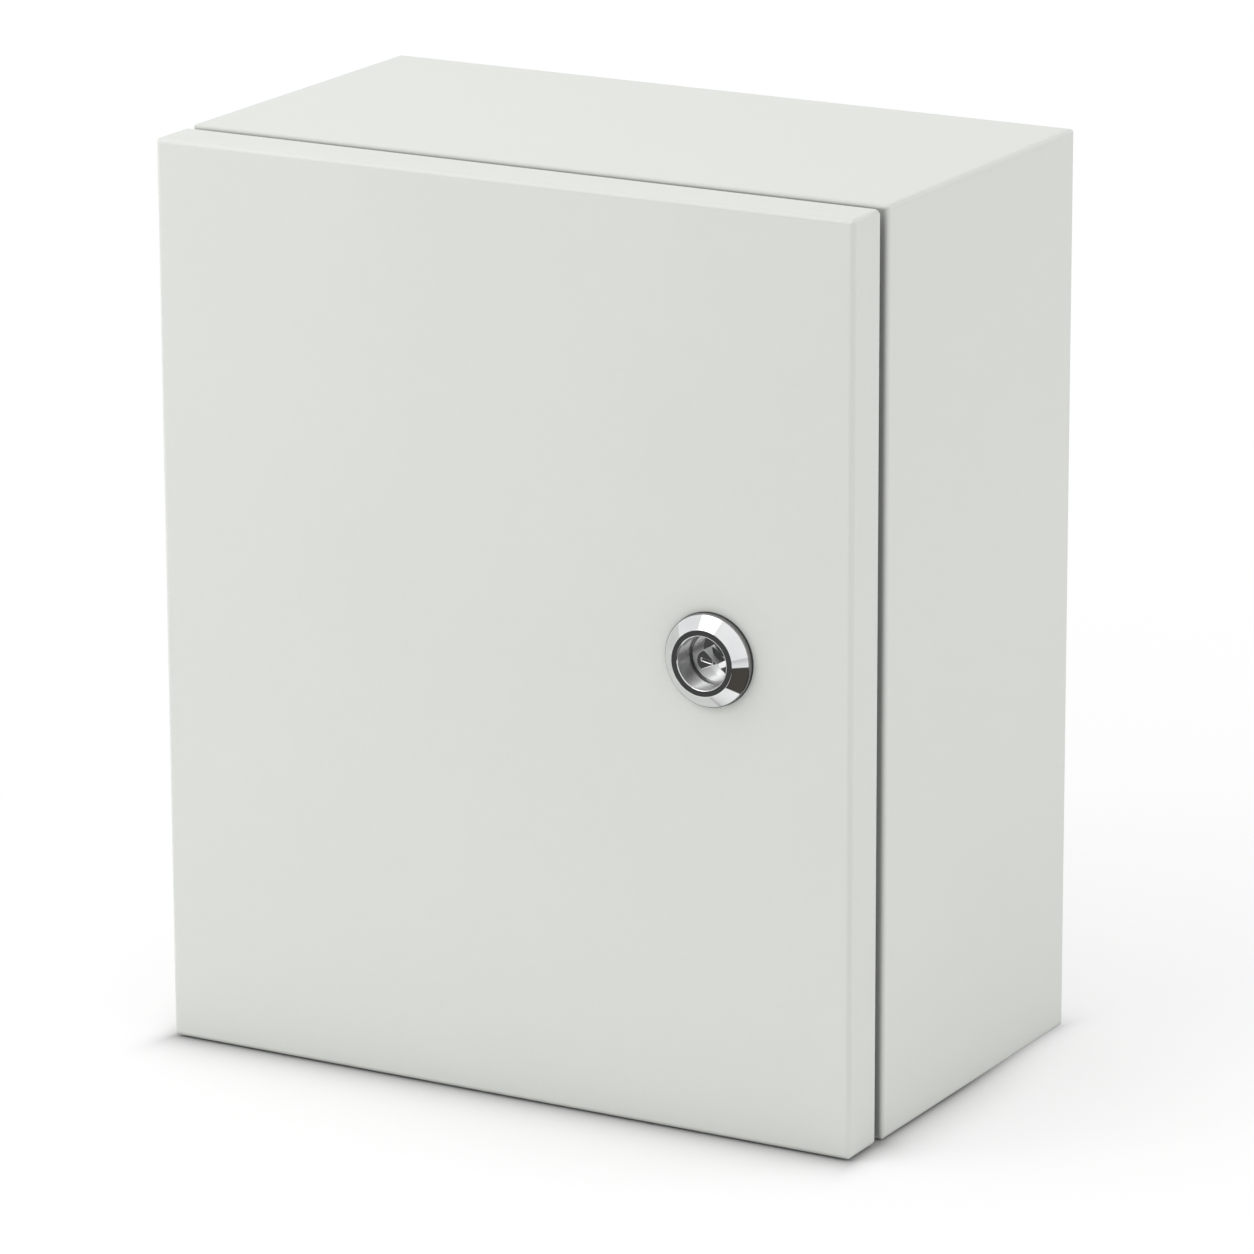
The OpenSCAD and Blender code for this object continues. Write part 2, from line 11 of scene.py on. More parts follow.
import bmesh
import bpy
from mathutils import Matrix, Vector
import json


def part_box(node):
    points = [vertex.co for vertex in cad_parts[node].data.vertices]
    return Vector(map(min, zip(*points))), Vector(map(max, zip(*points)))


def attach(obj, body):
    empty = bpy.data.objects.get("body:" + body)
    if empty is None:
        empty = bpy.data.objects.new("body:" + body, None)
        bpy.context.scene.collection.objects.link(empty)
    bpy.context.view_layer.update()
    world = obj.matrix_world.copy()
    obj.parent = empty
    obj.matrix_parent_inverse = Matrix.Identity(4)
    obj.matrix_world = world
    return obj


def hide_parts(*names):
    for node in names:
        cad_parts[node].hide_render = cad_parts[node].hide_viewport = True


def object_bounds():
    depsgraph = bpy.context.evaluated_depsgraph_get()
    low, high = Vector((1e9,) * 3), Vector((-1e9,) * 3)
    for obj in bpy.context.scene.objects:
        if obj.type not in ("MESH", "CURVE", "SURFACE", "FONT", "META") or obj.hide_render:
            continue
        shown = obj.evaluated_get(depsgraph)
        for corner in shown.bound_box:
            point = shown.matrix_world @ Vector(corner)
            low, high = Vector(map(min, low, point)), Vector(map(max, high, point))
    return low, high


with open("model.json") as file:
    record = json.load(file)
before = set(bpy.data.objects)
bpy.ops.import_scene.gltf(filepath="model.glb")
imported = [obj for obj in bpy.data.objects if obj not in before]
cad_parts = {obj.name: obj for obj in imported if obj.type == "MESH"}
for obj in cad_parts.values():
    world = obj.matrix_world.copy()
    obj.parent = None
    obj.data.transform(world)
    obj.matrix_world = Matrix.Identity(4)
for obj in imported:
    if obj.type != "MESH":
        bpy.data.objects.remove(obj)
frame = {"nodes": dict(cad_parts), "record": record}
cad_low, cad_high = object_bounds()
print("nodes:", len(frame["nodes"]), "size in mm:", [round(1000 * s, 1) for s in cad_high - cad_low])

# %% [markdown]
# ## The camera
# A long lens a good two metres away keeps the box's edges nearly parallel, as in a catalogue. The camera
# stands to the right and a little above. Building its three axes by hand is clearer than turning
# it by angles, because the small roll is then simply a turn of two of them.

# %% Place the camera
turn, rise, roll = (math.radians(angle) for angle in (29.485, 15.836, -0.201))
distance, shift_left, shift_down = 2.4176, 0.03371, 0.03011
back = Vector((math.sin(turn) * math.cos(rise), -math.cos(turn) * math.cos(rise), math.sin(rise)))
right = Vector((math.cos(turn), math.sin(turn), 0))
up = back.cross(right)
camera_right = right * math.cos(roll) + up * math.sin(roll)
camera_up = up * math.cos(roll) - right * math.sin(roll)

camera = bpy.data.objects.new("camera", bpy.data.cameras.new("camera"))
bpy.context.scene.collection.objects.link(camera)
camera.matrix_world = Matrix.Translation(
    back * distance - camera_right * shift_left - camera_up * shift_down
) @ Matrix((camera_right, camera_up, back)).transposed().to_4x4()
camera.data.sensor_width = 36
camera.data.lens = 209.98
bpy.context.scene.camera = camera
print("camera at", [round(c, 3) for c in camera.location])

# %% [markdown]
# ## Sums of shader sockets
# A finish is a small calculation: where am I on the surface, how bumpy is it here, so how rough is it.
# Wiring each Math node by hand hides that calculation, so a small class wraps a socket, and an ordinary
# Python expression on it adds the nodes. Every other kind of node comes from its one method `node`, and
# `sum`, `vector` and `component` are short forms of it for the kinds that are needed most.

# %% A socket that can be used in sums
class Wire:
    """An output socket of a shader node."""

    def __init__(self, tree, socket):
        self.tree = tree
        self.socket = socket

    def node(self, kind, settings=None, inputs=None, output=0):
        """Adds a node of any kind: its settings first, then the values or wires of its sockets."""
        made = self.tree.nodes.new(kind)
        for name, value in (settings or {}).items():
            setattr(made, name, value)
        for key, value in (inputs or {}).items():
            if isinstance(value, Wire):
                self.tree.links.new(value.socket, made.inputs[key])
            else:
                made.inputs[key].default_value = value
        return Wire(self.tree, made.outputs[output])

    def sum(self, operation, first, second=0.0):
        """Any Math node, for the operations that Python has no sign for."""
        return self.node("ShaderNodeMath", {"operation": operation}, {0: first, 1: second})

    def vector(self, operation, first, second=(0, 0, 0), output=0):
        """Any Vector Math node."""
        return self.node("ShaderNodeVectorMath", {"operation": operation}, {0: first, 1: second}, output)

    def component(self, axis):
        """The x, y or z of a vector, by its number."""
        return self.node("ShaderNodeSeparateXYZ", None, {0: self}, axis)

    def __add__(self, other):
        return self.sum("ADD", self, other)

    def __radd__(self, other):
        return self.sum("ADD", other, self)

    def __sub__(self, other):
        return self.sum("SUBTRACT", self, other)

    def __rsub__(self, other):
        return self.sum("SUBTRACT", other, self)

    def __mul__(self, other):
        return self.sum("MULTIPLY", self, other)

    def __rmul__(self, other):
        return self.sum("MULTIPLY", other, self)


# %% [markdown]
# ## Starting a finish
# Every finish begins the same way: a material, its Principled shader, and the place on the object in
# metres. Object coordinates are used because each piece keeps its place in its mesh, so a pattern runs on
# from piece to piece at one true scale. Numbers that are the same all over the surface are set straight
# on the shader.

# %% Start a finish
def srgb(red, green, blue):
    """A colour as seen on a screen, 0 to 255, turned into the linear colour that a shader takes."""
    return tuple(((c / 255 + 0.055) / 1.055) ** 2.4 for c in (red, green, blue)) + (1,)


def start_finish(name, **constants):
    """Makes a material, sets its constants and returns it with its shader and its place wire."""
    material = bpy.data.materials.new(name)
    material.use_nodes = True
    shader = material.node_tree.nodes["Principled BSDF"]
    for socket, value in constants.items():
        shader.inputs[socket.replace("_", " ")].default_value = value
    place = material.node_tree.nodes.new("ShaderNodeTexCoord").outputs["Object"]
    return material, shader, Wire(material.node_tree, place)


def noise(place, size, detail):
    """Soft random blotches about `size` metres across, from 0 to 1."""
    return place.node("ShaderNodeTexNoise", None, {"Vector": place, "Scale": 1 / size, "Detail": detail})


def ramp(wire, start, end, height=1.0):
    """0 before `start` and `height` after `end`, with a soft change between. It also runs downwards."""
    return wire.node("ShaderNodeMapRange", {"interpolation_type": "SMOOTHSTEP"}, {
        "Value": wire, "From Min": start, "From Max": end, "To Max": height,
    })


def blend(mask, first, second):
    """The first colour where the mask is 0, the second where it is 1."""
    return mask.node("ShaderNodeMix", {"data_type": "RGBA"}, {0: mask, 6: first, 7: second}, output=2)


def connect(wire, shader, socket):
    """Links a wire to a socket of a shader."""
    wire.tree.links.new(wire.socket, shader.inputs[socket])


def bump(height, depth):
    """A bump whose height from 0 to 1 stands for `depth` metres."""
    return height.node("ShaderNodeBump", None, {"Height": height, "Distance": depth, "Strength": 1.0})


# %% [markdown]
# ## Powder coat
# Powder is sprayed on dry and melts into a skin about 0.08 mm thick. It never flows quite flat: broad,
# shallow waves a few millimetres wide, called orange peel, and a finer grain on top. Both are bumps. The
# colour hardly changes, so two greys a step apart are blended by one broad and one fine noise. In the
# gutter behind the door's edge a painted shade darkens the colour. It stands in for the shadow that
# falls into that narrow channel.

# %% Powder coat
def gutter(place):
    """1 in the channel round the mouth of the enclosure, where shade is painted, and 0 outside it. Its
    edges are in metres.
    """
    # `depth` is how deep a place lies inside the body's box, from the nearer of each pair of sides
    low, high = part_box("body_shell")
    from_middle = place.vector("SUBTRACT", place, (low + high) / 2)
    depth = place.vector("SUBTRACT", (high - low) / 2, place.vector("ABSOLUTE", from_middle))
    from_wall = depth.sum("MINIMUM", depth.component(0), depth.component(2))
    from_front = depth.component(1)
    across = ramp(from_wall, 0.0002, 0.002) * ramp(from_wall, 0.028, 0.02)
    along = ramp(from_front, 0.001, 0.009) * ramp(from_front, 0.05, 0.03)
    in_front = ramp(from_middle.component(1), 0.0, -0.01)
    return across * along * in_front


def make_powder_coat():
    coat, shader, place = start_finish("powder_coat", Specular_IOR_Level=0.5)
    cloud = noise(place, 0.06, detail=1)
    peel = noise(place, 0.0035, detail=1)
    grain = noise(place, 0.0009, detail=2)
    tone = cloud * 0.5 + grain * 0.5
    unshaded_coat = blend(tone, srgb(210, 212, 207), srgb(214, 216, 211))
    # painted shade: in the gutter behind the door's edge the coat's colour is darkened towards a dark grey,
    # where shadow falls into the narrow channel
    painted_gutter_shade = gutter(place) * 0.58
    connect(blend(painted_gutter_shade, unshaded_coat, srgb(110, 111, 108)), shader, "Base Color")
    connect(0.34 + grain * 0.12, shader, "Roughness")
    connect(bump(peel * 0.6 + grain * 0.4, 0.00006), shader, "Normal")
    return coat


powder_coat = make_powder_coat()
print(powder_coat.name, len(powder_coat.node_tree.nodes), "nodes")

# %% [markdown]
# ## Zinc plate
# Nuts, studs and washers are plated with a few microns of zinc and then passivated, which leaves a cool,
# slightly blue silver with faint clouds. The metal is fully metallic, and the clouds live in its
# roughness more than in its colour.

# %% Zinc plate
def make_zinc():
    zinc, shader, place = start_finish("zinc", Metallic=1.0)
    cloud = noise(place, 0.004, detail=3)
    scuff = noise(place, 0.0005, detail=2)
    connect(blend(cloud, srgb(188, 194, 202), srgb(222, 224, 224)), shader, "Base Color")
    connect(0.24 + cloud * 0.16 + scuff * 0.08, shader, "Roughness")
    connect(bump(scuff, 0.000006), shader, "Normal")
    return zinc


zinc = make_zinc()
print(zinc.name, len(zinc.node_tree.nodes), "nodes")

# %% [markdown]
# ## Galvanised sheet
# The mounting plate is hot-dip galvanised. The zinc freezes into crystals several millimetres across, the
# spangle, and each crystal catches the light at its own angle. Voronoi cells are such crystals: one
# random value per cell changes the cell's tone and its roughness, and a noise bends the cells' edges.

# %% Galvanised sheet
def make_sheet_zinc():
    sheet, shader, place = start_finish("sheet_zinc", Metallic=1.0)
    noise_inputs = {"Vector": place, "Scale": 160.0, "Detail": 2.0}
    wander = place.node("ShaderNodeTexNoise", None, noise_inputs, output=1)
    bent_place = place.vector("ADD", place, place.vector("MULTIPLY", wander, (0.004, 0.004, 0.004)))
    cell_inputs = {"Vector": bent_place, "Scale": 140.0}
    cell_colour = place.node("ShaderNodeTexVoronoi", None, cell_inputs, output=1)
    crystal = cell_colour.node("ShaderNodeSeparateColor", None, {0: cell_colour})
    frost = noise(place, 0.0012, detail=3)
    tone = crystal * 0.7 + frost * 0.3
    connect(blend(tone, srgb(190, 193, 195), srgb(214, 216, 216)), shader, "Base Color")
    connect(0.34 + crystal * 0.16 + frost * 0.08, shader, "Roughness")
    connect(bump(frost, 0.00001), shader, "Normal")
    return sheet


sheet_zinc = make_sheet_zinc()
print(sheet_zinc.name, len(sheet_zinc.node_tree.nodes), "nodes")

# %% [markdown]
# ## Die-cast zinc
# The hinge parts are cast under pressure and tumbled, so their skin is satin, a little darker than plate,
# and has a fine pebbled grain. A bump with two sizes of noise gives that grain.

# %% Die-cast zinc
def make_die_cast():
    cast, shader, place = start_finish("die_cast", Metallic=1.0)
    pebble = noise(place, 0.0007, detail=3)
    cloud = noise(place, 0.008, detail=2)
    connect(blend(cloud, srgb(160, 163, 166), srgb(192, 194, 196)), shader, "Base Color")
    connect(0.38 + pebble * 0.14, shader, "Roughness")
    connect(bump(pebble, 0.00002), shader, "Normal")
    return cast


die_cast = make_die_cast()
print(die_cast.name, len(die_cast.node_tree.nodes), "nodes")

# %% [markdown]
# ## Chrome plate
# Chrome is almost a mirror, and what makes it look real is what it reflects. A trace of roughness and a
# very faint haze keep its reflections from looking drawn on.

# %% Chrome plate
def make_chrome():
    chrome, shader, place = start_finish("chrome", Metallic=1.0)
    haze = noise(place, 0.003, detail=3)
    cloud = noise(place, 0.012, detail=1)
    connect(blend(cloud * 0.8 + haze * 0.2, srgb(208, 209, 210), srgb(243, 243, 244)), shader, "Base Color")
    connect(0.03 + haze * 0.05, shader, "Roughness")
    return chrome


chrome = make_chrome()
print(chrome.name, len(chrome.node_tree.nodes), "nodes")

# %% [markdown]
# ## Satin chrome
# The same plating over a surface that was left as it was turned is satin, not bright. Its roughness blurs
# what it reflects, and fine dust from keys keeps it darker. It goes in the cup. A much darker copy goes
# on the collar's rim, and its dark grey is a painted reflection of a dark band along the collar's edge.

# %% Satin chrome
def make_satin_chrome(name, dark, light, roughness):
    satin, shader, place = start_finish(name, Metallic=1.0)
    haze = noise(place, 0.002, detail=3)
    connect(blend(haze, dark, light), shader, "Base Color")
    connect(roughness + haze * 0.06, shader, "Roughness")
    return satin


cup_chrome = make_satin_chrome("cup_chrome", srgb(226, 226, 226), srgb(236, 236, 235), 0.3)
# painted reflection: the rim's dark grey stands in for the dark band that the rim shows along the collar's
# edge
rim_painted_dark_chrome = make_satin_chrome("rim_painted_dark_chrome", srgb(128, 128, 127), srgb(146, 146, 145), 0.22)
print(cup_chrome.name, rim_painted_dark_chrome.name)

# %% [markdown]
# ## Foamed seal
# The seals are foamed in place: liquid polyurethane is laid down as a bead and rises. Its skin is matt,
# nearly black and dimpled by small bubbles, which a Voronoi distance makes.

# %% Foamed seal
def make_foam():
    foam, shader, place = start_finish("foam", Specular_IOR_Level=0.35)
    bubbles = place.node("ShaderNodeTexVoronoi", None, {"Vector": place, "Scale": 1100.0})
    cloud = noise(place, 0.006, detail=3)
    connect(blend(cloud, srgb(46, 46, 48), srgb(62, 62, 64)), shader, "Base Color")
    connect(0.68 + cloud * 0.16, shader, "Roughness")
    connect(bump(bubbles * 0.6 + cloud * 0.4, 0.0001), shader, "Normal")
    return foam


foam = make_foam()
print(foam.name, len(foam.node_tree.nodes), "nodes")

# %% [markdown]
# ## Paint the CAD parts
# The record says which finish each part has, so a loop can put the finishes on. The CAD meshes are
# already in place and are never moved: only their material slots are filled.

# %% Paint the CAD parts
finishes = {
    "powder_coat": powder_coat,
    "zinc": zinc,
    "sheet_zinc": sheet_zinc,
    "die_cast": die_cast,
    "chrome": chrome,
    "foam": foam,
}
slot_of = {part["node"]: part["material_slot"] for part in frame["record"]["subparts"]}
for node, slot in slot_of.items():
    mesh = frame["nodes"][node].data
    mesh.materials.clear()
    mesh.materials.append(finishes[slot])
print("painted", len(slot_of), "parts")

# %% [markdown]
# ## From a mesh to a finished piece
# Every new piece ends in the same way. Its faces are shaded smooth, its sharp turns are marked so that
# they stay crisp, and weighted normals keep the large flat faces flat. Then it gets its finish, it is hung
# on an empty named after the body it rides on, and the CAD parts it stands for are hidden, so that it
# takes their place.

# %% Turn a mesh into a finished piece
def finish_piece(name, bm, body, slot, replaced):
    """Turns a bmesh into a shaded, painted piece that rides on its body and stands for CAD parts."""
    mesh = bpy.data.meshes.new(name)
    bm.to_mesh(mesh)
    bm.free()
    mesh.shade_smooth()
    mesh.set_sharp_from_angle(angle=math.radians(42))
    mesh.materials.append(finishes[slot])
    piece = bpy.data.objects.new(name, mesh)
    bpy.context.scene.collection.objects.link(piece)
    weights = piece.modifiers.new("weighted normals", "WEIGHTED_NORMAL")
    weights.keep_sharp = True
    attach(piece, body)
    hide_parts(*replaced)
    return piece


# %% [markdown]
# ## Edges that catch the light
# Nothing that comes off a press or out of a plating bath has a knife edge, but a CAD mesh does. The cure
# is a copy of each part: its loose triangles are merged, flat areas are dissolved back into single faces,
# and every edge sharper than 30 degrees is bevelled by a fraction of a millimetre. The bevel only takes
# material away, so the part keeps its size.

# %% Round the edges of a copy
MM = 0.001


def merged_copy(node):
    """A CAD part as one clean bmesh: shared corners, and no lines left inside its flat faces."""
    bm = bmesh.new()
    bm.from_mesh(frame["nodes"][node].data)
    bmesh.ops.remove_doubles(bm, verts=bm.verts, dist=0.001 * MM)
    bmesh.ops.dissolve_limit(bm, angle_limit=math.radians(1), verts=bm.verts, edges=bm.edges)
    return bm


def round_edges(bm, width, wanted=lambda edge: True, clamp=True):
    """Bevels every wanted edge that turns by more than 30 degrees."""
    sharp = [edge for edge in bm.edges if wanted(edge) and edge.calc_face_angle(0) > math.radians(30)]
    bmesh.ops.bevel(
        bm, geom=sharp, offset=width * MM, offset_type="OFFSET", segments=2, profile=0.5,
        affect="EDGES", clamp_overlap=clamp, loop_slide=True, material=-1,
    )
    return len(sharp)


# %% [markdown]
# ## The rounded parts
# How round an edge is depends on how it was made. Paint flows back from a sheared sheet edge and builds a
# soft rim, so painted sheet gets the widest bevel. Cast hinge parts have a mould radius, and turned or
# stamped hardware only a broken corner.

# %% Round every rigid part
body_of = {node: body for body, nodes in frame["record"]["behaviour"]["bodies"].items() for node in nodes}
edge_width = {
    "powder_coat": 0.3, "die_cast": 0.35, "sheet_zinc": 0.2, "zinc": 0.15, "chrome": 0.12, "foam": 0.4,
}
own_shape = {
    "lock_bezel", "lock_seal", "lock_insert", "door_gasket",
    "plate_studs", "gland_studs", "body_earth_stud", "door_earth_stud", "hinge_leaf_studs",
}
for node, slot in slot_of.items():
    if node not in own_shape:
        part = merged_copy(node)
        rounded_edges = round_edges(part, edge_width[slot])
        finish_piece(node + "_rounded", part, body_of[node], slot, [node])
        print(node, "edges rounded:", rounded_edges)

# %% [markdown]
# ## Turning small parts
# A lathe makes round parts, and so does `spin`: a profile of a few points is swept round the axis in
# small steps. The points are pairs of radius and height in millimetres. The sweep is drawn round the z
# axis and then laid into place. Its corners are given a small arc first, as a turned corner has.

# %% Turn a profile on the lathe
def lathe(bm, profile, steps=128):
    """Sweeps a profile of (radius, height) points in mm round the z axis."""
    line = [bm.verts.new((radius * MM, 0, height * MM)) for radius, height in profile]
    edges = [bm.edges.new(pair) for pair in zip(line, line[1:])]
    bmesh.ops.spin(
        bm, geom=line + edges, cent=(0, 0, 0), axis=(0, 0, 1),
        angle=2 * math.pi, steps=steps, use_merge=True, use_duplicate=False,
    )
    bmesh.ops.remove_doubles(bm, verts=bm.verts, dist=0.002 * MM)
    bmesh.ops.recalc_face_normals(bm, faces=bm.faces)


def arc_corners(profile, radius, steps=3):
    """Replaces each inner corner of an open profile with a short arc."""
    points = [Vector(point) for point in profile]
    smooth = [points[0]]
    for before, corner, after in zip(points, points[1:], points[2:]):
        reach = min(radius, 0.45 * (before - corner).length, 0.45 * (after - corner).length)
        start = corner + (before - corner).normalized() * reach
        end = corner + (after - corner).normalized() * reach
        for step in range(steps + 1):
            t = step / steps
            smooth.append(start.lerp(corner, t).lerp(corner.lerp(end, t), t))
    return smooth + [points[-1]]


# %% [markdown]
# ## The lock's collar
# The chrome collar is a zinc casting that is finished on a lathe: a straight rim on its seal, a polished
# cone, a narrow flat land and a deep cup for the key. A profile swept round the axis is the shortest way
# to all of it. The sizes that the CAD model knows are measured there, and only the small steps in between
# are written down.

# %% Find the lock on the door
lock_low, lock_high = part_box("lock_bezel")
door_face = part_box("door_panel")[0].y
lock_middle = Vector(((lock_low.x + lock_high.x) / 2, door_face, (lock_low.z + lock_high.z) / 2))
lock_place = Matrix.Translation(lock_middle) @ Matrix.Rotation(math.radians(90), 4, "X")
collar_radius = (lock_high.x - lock_low.x) / 2 / MM
collar_height = (door_face - lock_low.y) / MM
barrel_end = (door_face - lock_high.y) / MM
print("collar radius", round(collar_radius, 2), "height", round(collar_height, 2))
print("barrel ends at", round(barrel_end, 2))

# %% Turn the collar's head
cup_radius, groove_radius, groove_top = 8.5, 9.3, -2.0
land_radius, rim_top, seal_thick = 10.65, 2.2, 0.8
barrel_radius, barrel_flat, head_end = 11, 10, -1.5
head_bore = barrel_flat - 0.1
lip, rim_break = 0.3, 0.15
collar = bmesh.new()
lathe(collar, arc_corners([
    (groove_radius, head_end), (groove_radius, groove_top), (cup_radius, groove_top),
    (cup_radius, collar_height - lip), (cup_radius + lip, collar_height), (land_radius, collar_height),
    (collar_radius - 2 * rim_break, rim_top + rim_break), (collar_radius, rim_top - rim_break),
    (collar_radius, seal_thick), (head_bore, seal_thick), (head_bore, head_end), (groove_radius, head_end),
], radius=0.14))
print("collar head:", len(collar.faces), "faces")

# %% [markdown]
# ## The barrel
# Behind the door the collar goes on as a threaded barrel, milled flat on two sides so that it can't turn.
# Its thread is drawn as a run of small grooves, which looks the same as a helix at this size and stays
# closed, and `bisect_plane` mills the flats.

# %% Cut the barrel's thread and flats
def thread(start, end, crest, pitch):
    """Profile points of a thread between two heights, as a run of V grooves."""
    turns = round(abs(end - start) / pitch)
    step = (end - start) / turns
    root = crest - 0.55 * pitch
    points = []
    for turn_number in range(turns):
        level = start + turn_number * step
        points += [(crest, level + 0.1 * step), (root, level + 0.5 * step), (crest, level + 0.9 * step)]
    return points


cup_floor, bore_radius, lead_in, barrel_pitch = -5, 7.05, 0.8, 1.5
barrel = bmesh.new()
lathe(barrel, [
    (bore_radius, cup_floor), (groove_radius, cup_floor), (groove_radius, head_end),
    (groove_radius + 0.1, head_end), (barrel_radius, head_end),
    *thread(head_end - 0.5, barrel_end + lead_in, barrel_radius, barrel_pitch),
    (barrel_radius - lead_in, barrel_end), (bore_radius, barrel_end), (bore_radius, cup_floor),
], steps=96)
for side in (-1, 1):
    cut = bmesh.ops.bisect_plane(
        barrel, geom=barrel.verts[:] + barrel.edges[:] + barrel.faces[:],
        plane_co=(0, side * barrel_flat * MM, 0), plane_no=(0, side, 0), clear_outer=True,
    )
    rim = [edge for edge in cut["geom_cut"] if isinstance(edge, bmesh.types.BMEdge)]
    bmesh.ops.edgeloop_fill(barrel, edges=rim)
print("barrel:", len(barrel.faces), "faces")

# %% [markdown]
# ## Bright and satin faces
# Head and barrel are one casting, so their meshes are joined in one piece. Only the cone and the land are
# polished: the cup and the rim are left as they were turned, and the rim's dark grey is a painted
# reflection. One mesh can hold several finishes, and each face keeps the number of its own.

# %% Put the collar together
barrel_mesh = bpy.data.meshes.new("barrel")
barrel.to_mesh(barrel_mesh)
barrel.free()
collar.from_mesh(barrel_mesh)
bpy.data.meshes.remove(barrel_mesh)
bmesh.ops.transform(collar, matrix=lock_place, verts=collar.verts)
collar_piece = finish_piece("lock_collar", collar, "door", "chrome", ["lock_bezel"])
print("collar:", len(collar_piece.data.polygons), "faces")

# %% Finish the cup and the rim
to_lock = lock_place.inverted()
cup_number, rim_number = 1, 2
for satin in (cup_chrome, rim_painted_dark_chrome):
    collar_piece.data.materials.append(satin)
for face in collar_piece.data.polygons:
    centre = to_lock @ face.center / MM
    radius = math.hypot(centre.x, centre.y)
    in_cup = radius < cup_radius + 0.05
    on_rim = radius > collar_radius - 0.33
    behind_door = centre.z < 0
    if in_cup or behind_door:
        face.material_index = cup_number
    # the rim's faces take the painted dark reflection
    elif on_rim:
        face.material_index = rim_number
for number, satin in ((cup_number, cup_chrome), (rim_number, rim_painted_dark_chrome)):
    print(satin.name, "faces:", sum(face.material_index == number for face in collar_piece.data.polygons))

# %% [markdown]
# ## The lock's seal
# A thin rubber ring under the collar keeps water out. From the front it is only a black line round the
# chrome, so it is a lathed ring whose outer edge bulges a little.

# %% Turn the seal
seal_bore, seal_radius = 11.15, 15.1
seal = bmesh.new()
lathe(seal, arc_corners([
    (seal_bore, 0), (seal_radius, 0), (seal_radius + 0.1, seal_thick / 2), (seal_radius, seal_thick),
    (seal_bore, seal_thick), (seal_bore, 0),
], radius=0.2))
bmesh.ops.transform(seal, matrix=lock_place, verts=seal.verts)
print("seal:", len(seal.faces), "faces")
finish_piece("lock_seal_ring", seal, "door", "foam", ["lock_seal"])

# %% [markdown]
# ## The key insert
# The insert that the key turns is a disc with a three-sided post. It takes the wide bevel of a part that
# has been tumbled before plating, and so the post is drawn in bright lines. A clamped bevel stops at the
# shortest edge it is given, so the two outlines that face the front get a free one of their own. The
# slot in the post's end has short edges, so it goes first and takes only a trace.

# %% Round the insert
insert = merged_copy("lock_insert")
insert_front = min(corner.co.y for corner in insert.verts)
slot_reach = 1.8 * MM


def from_axis(point):
    """How far a point is from the lock's axis."""
    return math.hypot(point.x - lock_middle.x, point.z - lock_middle.z)


disc_radius = max(from_axis(corner.co) for corner in insert.verts)


def on_outline(edge):
    """True for the outline of the post's end and of the disc's face."""
    middle = (edge.verts[0].co + edge.verts[1].co) / 2
    on_post = middle.y < insert_front + 0.05 * MM and from_axis(middle) > slot_reach
    on_disc = middle.y < door_face + 3 * MM and from_axis(middle) > disc_radius - 0.1 * MM
    return on_post or on_disc


def on_slot(edge):
    """True for the edges of the slot in the post's end."""
    return all(
        corner.co.y < insert_front + 0.7 * MM and from_axis(corner.co) < slot_reach for corner in edge.verts
    )


slot_edges = round_edges(insert, 0.06, on_slot, clamp=False)
outline_edges = round_edges(insert, 0.36, on_outline, clamp=False)
print("insert: rounded", outline_edges, "edges of the outlines and", slot_edges, "of the slot")
print("insert: open edges", sum(not edge.is_manifold for edge in insert.edges))
finish_piece("lock_insert_rounded", insert, "lock_rotor", "chrome", ["lock_insert"])

# %% [markdown]
# ## Welded studs
# The studs are shot on to the sheet with a capacitor weld. The CAD model has them as plain rods, several
# to a part. To find each one, the separate solids of a part are walked from corner to corner along their
# edges, and the box round what was reached gives its place, its length and its radius.

# %% Find the separate solids of a part
def solids(node):
    """The lowest and highest corner of each separate solid of a CAD part."""
    bm = merged_copy(node)
    waiting = set(bm.verts)
    boxes = []
    while waiting:
        reached = [waiting.pop()]
        for vert in reached:
            for edge in vert.link_edges:
                other = edge.other_vert(vert)
                if other in waiting:
                    waiting.remove(other)
                    reached.append(other)
        boxes.append(tuple(
            Vector([pick(vert.co[axis] for vert in reached) for axis in range(3)]) for pick in (min, max)
        ))
    bm.free()
    return boxes


# %% [markdown]
# ## Threads for the studs
# The weld leaves a short plain foot on each stud, and the rest is thread, down to a tapered end. One
# profile serves for all of them: it is turned upright on the lathe, tipped into the stud's direction and
# moved to the stud's foot.

# %% Cut the studs
def cut_studs(node, direction, pitch):
    """Threaded studs in place of a CAD part's plain rods. They stand along `direction`."""
    studs = bmesh.new()
    direction = Vector(direction)
    for low, high in solids(node):
        middle, half = (low + high) / 2, (high - low) / 2
        length = 2 * abs(half.dot(direction)) / MM
        radius = min(half) / MM
        rod = bmesh.new()
        lathe(rod, [
            (0, 0), (radius, 0), *thread(1.5 * pitch, length - 0.7 * pitch, radius, pitch),
            (radius - 0.6 * pitch, length), (0, length),
        ], steps=32)
        foot = middle - direction * (length * MM / 2)
        turn_up = Vector((0, 0, 1)).rotation_difference(direction).to_matrix().to_4x4()
        bmesh.ops.transform(rod, matrix=Matrix.Translation(foot) @ turn_up, verts=rod.verts)
        rod_mesh = bpy.data.meshes.new("rod")
        rod.to_mesh(rod_mesh)
        rod.free()
        studs.from_mesh(rod_mesh)
        bpy.data.meshes.remove(rod_mesh)
    print(node, len(studs.faces), "faces")
    finish_piece(node + "_threaded", studs, body_of[node], "zinc", [node])


cut_studs("plate_studs", (0, -1, 0), 1.25)
cut_studs("gland_studs", (0, 0, 1), 0.8)
cut_studs("body_earth_stud", (0, 0, 1), 1.0)
cut_studs("door_earth_stud", (0, 1, 0), 1.0)
cut_studs("hinge_leaf_studs", (0, 1, 0), 0.7)

# %% [markdown]
# ## The door's foamed seal
# The seal is poured on the door as a bead that runs round once and closes on itself. Its section is a low
# dome, with a shallow trough where the rim presses into it. The section is pushed along each straight
# side with an extrude and swung round each corner with a quarter spin, as the pouring nozzle travels.

